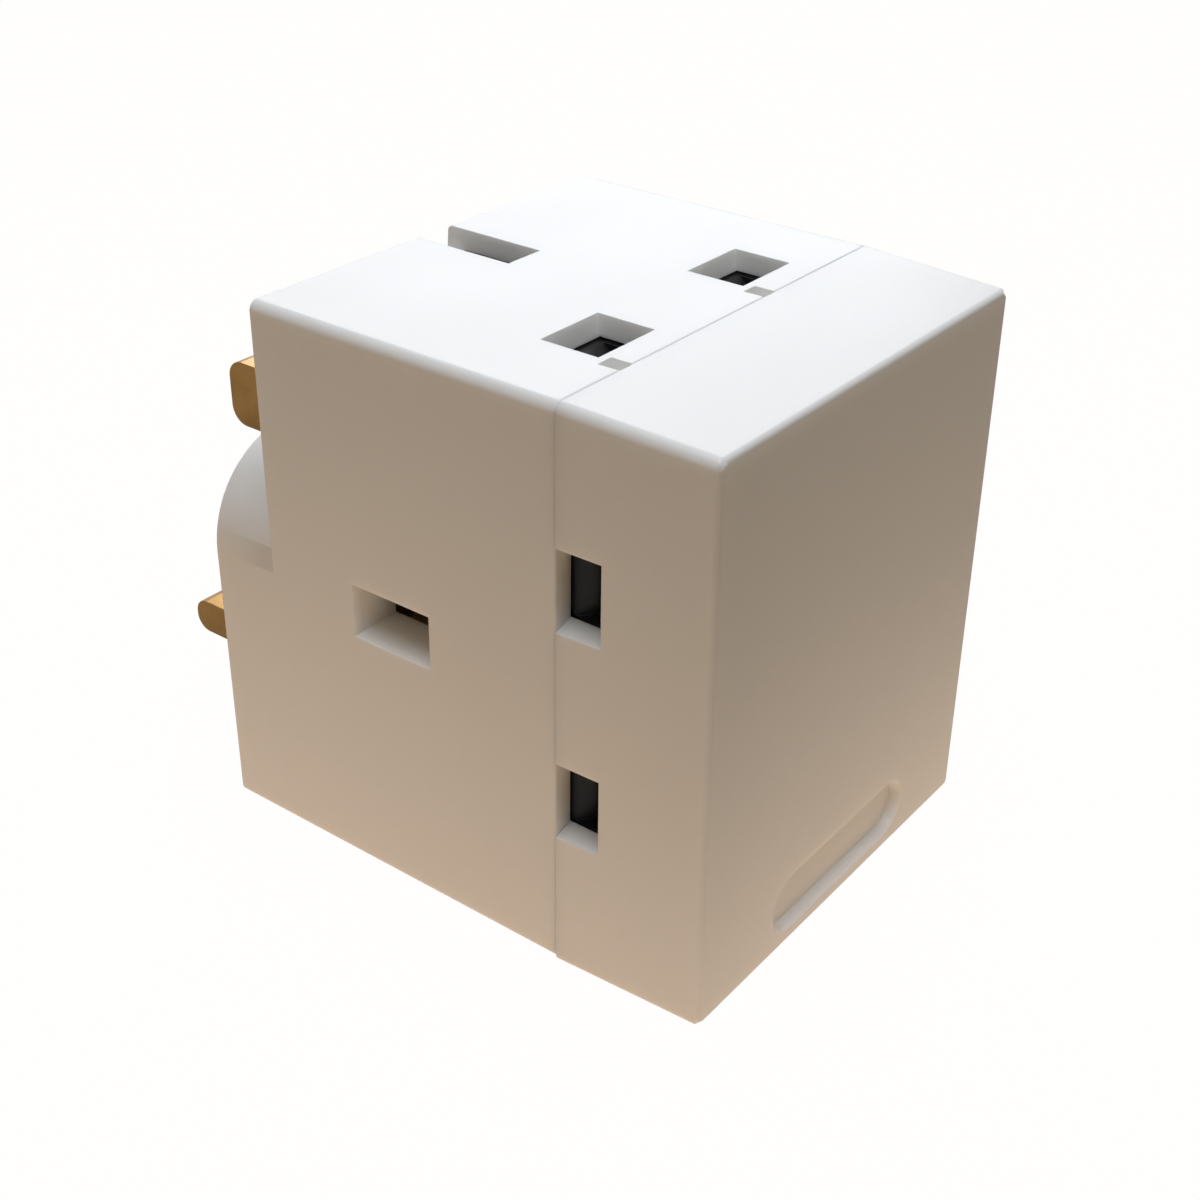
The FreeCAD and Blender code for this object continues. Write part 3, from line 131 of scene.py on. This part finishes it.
def drawn_metal(name, colour, tarnish, roughness, lines_mm, along, tarnish_mm, depth_mm):
    """Bar or sheet that was drawn or rolled: fine lines along it, 25 times as long as wide, and a thin uneven
    tarnish over them."""
    material, tree, surface, at = shader(name, metallic=1.0)
    stretch = tuple(0.04 if axis == along else 1.0 for axis in "XYZ")
    run = add(tree, "ShaderNodeMapping", {"Vector": at, "Scale": stretch})
    lines = add(tree, "ShaderNodeTexNoise", {"Vector": run.outputs["Vector"], "Scale": 1 / lines_mm,
                                            "Detail": 2.0})
    patches = add(tree, "ShaderNodeTexNoise", {"Vector": at, "Scale": 1 / tarnish_mm, "Detail": 4.0})
    spread = add(tree, "ShaderNodeMapRange", {"Value": patches.outputs["Fac"],
                                             "From Min": 0.42, "From Max": 0.72})
    colours = add(tree, "ShaderNodeMix", {"Factor": spread.outputs["Result"], FIRST_COLOUR: linear(colour),
                                         SECOND_COLOUR: linear(tarnish)}, data_type="RGBA")
    tree.links.new(colours.outputs[MIXED_COLOUR], surface.inputs["Base Color"])
    gloss = add(tree, "ShaderNodeMapRange", {"Value": lines.outputs["Fac"], "From Min": 0.3, "From Max": 0.7,
                                            "To Min": roughness[0], "To Max": roughness[1]})
    tree.links.new(gloss.outputs["Result"], surface.inputs["Roughness"])
    relief = add(tree, "ShaderNodeBump", {"Height": lines.outputs["Fac"], "Strength": 0.5,
                                         "Distance": depth_mm * MM})
    tree.links.new(relief.outputs["Normal"], surface.inputs["Normal"])
    return material


# Urea moulding, white: hard and satin-bright, with a faint grain that softens its highlights.
white_urea = moulded_plastic("white_urea_moulding", "#F2F2EF", "#EFEFEC", roughness=(0.26, 0.4),
                             grain_mm=0.35, grain_depth_mm=0.005, cloud_mm=22.0, ior=1.52, glow_mm=1.4)
# Nylon shutters, black: moulded smooth, with a low sheen.
black_nylon = moulded_plastic("black_nylon_moulding", "#08080A", "#0C0C0F", roughness=(0.26, 0.4),
                              grain_mm=0.3, grain_depth_mm=0.006, cloud_mm=6.0, ior=1.42)
# Nylon sleeves pressed on the pins: nearly black, with a fine matt skin.
matt_sleeve = moulded_plastic("matt_nylon_sleeve", "#18181A", "#202023", roughness=(0.5, 0.62),
                              grain_mm=0.22, grain_depth_mm=0.01, cloud_mm=5.0, ior=1.53)
# Glazed steatite tube of the fuse: cream, with a soft glaze.
glazed_ceramic = moulded_plastic("glazed_steatite", "#E6DFCD", "#DDD4BE", roughness=(0.18, 0.3),
                                 grain_mm=0.5, grain_depth_mm=0.004, cloud_mm=5.0, ior=1.6)
# Drawn brass bar of the pins, handled: dull yellow-brown with fine lines along the pin.
pin_brass = drawn_metal("drawn_pin_brass", "#A9844E", "#8E6C3C", roughness=(0.22, 0.3), lines_mm=0.22,
                        along="Y", tarnish_mm=6.0, depth_mm=0.002)
# Rolled brass strip of busbars and clips: brighter, lines along the strip.
sheet_brass = drawn_metal("rolled_strip_brass", "#CDAE74", "#B4925A", roughness=(0.24, 0.38), lines_mm=0.2,
                          along="Z", tarnish_mm=6.0, depth_mm=0.003)
# Turned brass rivets: nearly as bright as the strip, and a little smoother.
rivet_brass = drawn_metal("turned_rivet_brass", "#C8A467", "#AE8750", roughness=(0.2, 0.34), lines_mm=0.15,
                          along="Z", tarnish_mm=2.0, depth_mm=0.003)
# Nickel-plated caps of the fuse: pale warm grey and the shiniest metal here.
nickel_plate = drawn_metal("nickel_plated_cap", "#C9C6BE", "#B5B0A6", roughness=(0.16, 0.28), lines_mm=0.2,
                           along="X", tarnish_mm=4.0, depth_mm=0.002)
# Hard-drawn spring wire: mid grey with a dull shine.
spring_wire = drawn_metal("drawn_spring_wire", "#A9A9AB", "#8E8E90", roughness=(0.26, 0.4), lines_mm=0.15,
                          along="Y", tarnish_mm=2.0, depth_mm=0.002)
# Zinc-plated screws: grey-white with a dull shine.
zinc_plate = drawn_metal("zinc_plated_screw", "#B9BBBB", "#A2A39F", roughness=(0.28, 0.42), lines_mm=0.2,
                         along="Y", tarnish_mm=2.0, depth_mm=0.003)


# Pieces

OUTLETS = ("left", "right", "top")
CONTACTS = ("line", "neutral", "earth")
# Corners of neighbouring triangles closer than this are one corner.
WELD = 0.002 * MM
# Faces that meet below the first angle are one flat face, and edges above the second are eased.
FLAT, SHARP = math.radians(0.5), math.radians(50)


def only(piece):
    """Selects one piece and nothing else."""
    bpy.ops.object.select_all(action="DESELECT")
    piece.select_set(True)
    bpy.context.view_layer.objects.active = piece


def apply(piece, kind, name, **settings):
    """Adds a modifier with its settings and applies it."""
    only(piece)
    modifier = piece.modifiers.new(name, kind)
    for key, value in settings.items():
        setattr(modifier, key, value)
    bpy.ops.object.modifier_apply(modifier=modifier.name)


def dressed(piece, node, body, material):
    """Gives a piece its material, hangs it from the empty of the body that carries it, and hides the CAD
    piece that it stands for.
    """
    piece.data.materials.clear()
    piece.data.materials.append(material)
    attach(piece, body)
    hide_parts(node)


def finished(node, body, material, edge_mm, steps=2, smooth=48):
    """A copy of a CAD piece with its triangles joined, its sharp edges eased and its curves shaded smooth,
    up to the angle in degrees that smooth gives."""
    piece = bpy.data.objects.new(node + "_finish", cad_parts[node].data.copy())
    bpy.context.scene.collection.objects.link(piece)
    only(piece)
    bpy.ops.object.mode_set(mode="EDIT")
    bpy.ops.mesh.select_all(action="SELECT")
    bpy.ops.mesh.remove_doubles(threshold=WELD)
    bpy.ops.mesh.dissolve_limited(angle_limit=FLAT)
    bpy.ops.object.mode_set(mode="OBJECT")
    apply(piece, "BEVEL", "eased_edges", width=edge_mm * MM, segments=steps, limit_method="ANGLE",
          angle_limit=SHARP)
    bpy.ops.object.shade_smooth_by_angle(angle=math.radians(smooth))
    apply(piece, "WEIGHTED_NORMAL", "even_faces", keep_sharp=True)
    dressed(piece, node, body, material)


def coil_spring(outlet):
    """A round wire swept round the spring's axis and closed flat at both ends."""
    node = f"{outlet}_shutter_spring"
    low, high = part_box(node)
    middle = (low + high) / 2
    wire_radius = 0.2 * MM
    coil_radius = (high.x - low.x) / 2 - wire_radius
    turns, turn_steps = 6, 28
    pitch = (high.y - low.y - wire_radius * 2) / turns
    bpy.ops.object.select_all(action="DESELECT")
    bpy.ops.mesh.primitive_circle_add(vertices=10, radius=wire_radius,
                                      location=(middle.x, low.y + wire_radius, middle.z))
    piece = bpy.context.active_object
    piece.name = node + "_finish"
    bpy.ops.object.mode_set(mode="EDIT")
    bpy.ops.mesh.select_all(action="SELECT")
    bpy.ops.transform.translate(value=(coil_radius, 0, 0))
    bpy.ops.object.mode_set(mode="OBJECT")
    apply(piece, "SCREW", "turns", axis="Y", angle=math.tau, screw_offset=pitch, iterations=turns,
          steps=turn_steps, render_steps=turn_steps)
    bpy.ops.object.mode_set(mode="EDIT")
    bpy.ops.mesh.select_all(action="DESELECT")
    bpy.ops.mesh.select_mode(type="EDGE")
    bpy.ops.mesh.select_non_manifold()
    bpy.ops.mesh.edge_face_add()
    bpy.ops.mesh.select_all(action="SELECT")
    bpy.ops.mesh.normals_make_consistent(inside=False)
    bpy.ops.object.mode_set(mode="OBJECT")
    bpy.ops.object.transform_apply(location=True, rotation=True, scale=True)
    bpy.ops.object.shade_smooth_by_angle(angle=math.radians(40))
    dressed(piece, node, "casing", spring_wire)
    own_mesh(piece)


finished("rear_housing", "casing", white_urea, edge_mm=0.12)
finished("front_cover", "casing", white_urea, edge_mm=0.12, smooth=40)
finished("fuse_carrier", "fuse_drawer", white_urea, edge_mm=0.12)
finished("fuse_tube", "fuse_drawer", glazed_ceramic, edge_mm=0.1)
for side in ("left", "right"):
    finished(f"fuse_cap_{side}", "fuse_drawer", nickel_plate, edge_mm=0.15)
for pin in ("line_pin", "neutral_pin", "earth_pin"):
    finished(pin, "casing", pin_brass, edge_mm=0.1)
for sleeve in ("line_pin_sleeve", "neutral_pin_sleeve"):
    finished(sleeve, "casing", matt_sleeve, edge_mm=0.08)
for strip in ("line_busbar", "neutral_busbar", "earth_busbar", "fuse_clip_line_pin", "fuse_clip_line_bar"):
    finished(strip, "casing", sheet_brass, edge_mm=0.1)
for outlet in OUTLETS:
    for contact in CONTACTS:
        finished(f"{outlet}_{contact}_clip", "casing", sheet_brass, edge_mm=0.08)
    finished(f"{outlet}_shutter", f"{outlet}_shutter_slide", black_nylon, edge_mm=0.12)
finished("contact_rivets", "casing", rivet_brass, edge_mm=0.05, steps=1)
finished("casing_screws", "casing", zinc_plate, edge_mm=0.08, steps=1)
for outlet in OUTLETS:
    coil_spring(outlet)


# Floor, light and camera

# The floor lies this far below the part, so that the two never share a plane.
FLOOR_GAP = 0.2 * MM


def studio_floor(part_foot):
    """A wide pale floor. The camera sees it white, reflections see it paler than it is, and all other light
    meets its own colour."""
    bpy.ops.object.select_all(action="DESELECT")
    bpy.ops.mesh.primitive_plane_add(size=6.0, location=(0, 0, part_foot - FLOOR_GAP))
    floor = bpy.context.active_object
    floor.name = "studio_floor"
    material = bpy.data.materials.new("pale_paper_floor")
    material.use_nodes = True
    tree = material.node_tree
    tree.nodes.clear()
    place = add(tree, "ShaderNodeTexCoord")
    fibres = add(tree, "ShaderNodeTexNoise", {"Vector": place.outputs["Object"], "Scale": 40.0,
                                             "Detail": 3.0})
    tone = add(tree, "ShaderNodeMix", {"Factor": fibres.outputs["Fac"], FIRST_COLOUR: linear("#9C8156"),
                                      SECOND_COLOUR: linear("#987D53")}, data_type="RGBA")
    paper = add(tree, "ShaderNodeBsdfDiffuse", {"Color": tone.outputs[MIXED_COLOUR]})
    white = add(tree, "ShaderNodeEmission", {"Color": (1, 1, 1, 1), "Strength": 1.09})
    # The camera gets this much of the white, and a reflection gets this much of what the camera gets.
    camera_share, reflected_share = 0.9, 0.4
    path = add(tree, "ShaderNodeLightPath")
    seen = add(tree, "ShaderNodeMath", {0: path.outputs["Is Glossy Ray"], 1: reflected_share,
                                       2: path.outputs["Is Camera Ray"]}, operation="MULTIPLY_ADD")
    share = add(tree, "ShaderNodeMath", {0: seen.outputs[0], 1: camera_share}, operation="MULTIPLY")
    both = add(tree, "ShaderNodeMixShader", {0: share.outputs[0], 1: paper.outputs[0], 2: white.outputs[0]})
    add(tree, "ShaderNodeOutputMaterial", {"Surface": both.outputs[0]})
    floor.data.materials.append(material)


def studio_world():
    """White to the camera and to reflections, and a weak warm fill to all other light."""
    world = bpy.data.worlds.new("studio_world")
    bpy.context.scene.world = world
    world.use_nodes = True
    tree = world.node_tree
    tree.nodes.clear()
    path = add(tree, "ShaderNodeLightPath")
    seen = add(tree, "ShaderNodeMath", {0: path.outputs["Is Camera Ray"], 1: path.outputs["Is Glossy Ray"]},
               operation="MAXIMUM")
    fill = add(tree, "ShaderNodeBackground", {"Color": linear("#FFDCA8"), "Strength": 0.05})
    white = add(tree, "ShaderNodeBackground", {"Color": (1, 1, 1, 1), "Strength": 1.0})
    both = add(tree, "ShaderNodeMixShader", {0: seen.outputs[0], 1: fill.outputs[0], 2: white.outputs[0]})
    add(tree, "ShaderNodeOutputWorld", {"Surface": both.outputs[0]})


def softbox(name, place, aim, size, power, colour, seen=True):
    """A square area lamp that faces a point, and that the camera and reflections may or may not see."""
    lamp = bpy.data.lights.new(name, "AREA")
    lamp.shape = "SQUARE"
    lamp.size, lamp.energy = size, power
    lamp.color = linear(colour)[:3]
    holder = bpy.data.objects.new(name, lamp)
    holder.visible_camera = holder.visible_glossy = seen
    bpy.context.scene.collection.objects.link(holder)
    place, aim = Vector(place), Vector(aim)
    holder.location = place
    holder.rotation_euler = (aim - place).to_track_quat("-Z", "Y").to_euler()


def photograph_camera():
    """The camera fitted to the photograph: its axes, its eye, its lens and the offset of its frame."""
    data = bpy.data.cameras.new("photograph_camera")
    data.sensor_width = 36.0
    data.lens = 53.71
    data.shift_x, data.shift_y = -0.0292, -0.0104
    data.clip_start, data.clip_end = 0.01, 20.0
    camera = bpy.data.objects.new("photograph_camera", data)
    bpy.context.scene.collection.objects.link(camera)
    right = Vector((0.59661, -0.80226, 0.02086))
    up = Vector((0.39169, 0.31378, 0.86494))
    back = Vector((-0.70045, -0.50786, 0.50145))
    eye = Vector((-127.82, -127.08, 107.07)) * MM
    turn = Matrix((right, up, back)).transposed().to_4x4()
    camera.matrix_world = Matrix.Translation(eye) @ turn
    bpy.context.scene.camera = camera


part_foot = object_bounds()[0].z
studio_floor(part_foot)
studio_world()
softbox("overhead_softbox", place=(-0.07, -0.1, 0.75), aim=(0, -0.02, 0), size=0.5, power=4.0,
        colour="#F4F8FF")
softbox("back_softbox", place=(0.63, 0.44, 0.45), aim=(0, -0.02, 0.02), size=0.5, power=1.7,
        colour="#F4F8FF")
# A glowing patch between the floor and the part, which lights the sides from below.
table_x, table_y, table_z = -0.035, -0.015, part_foot - FLOOR_GAP / 2
softbox("light_table", place=(table_x, table_y, table_z), aim=(table_x, table_y, 1), size=0.18, power=0.078,
        colour="#FFE2CA", seen=False)
photograph_camera()
bpy.context.scene.view_settings.view_transform = "Standard"
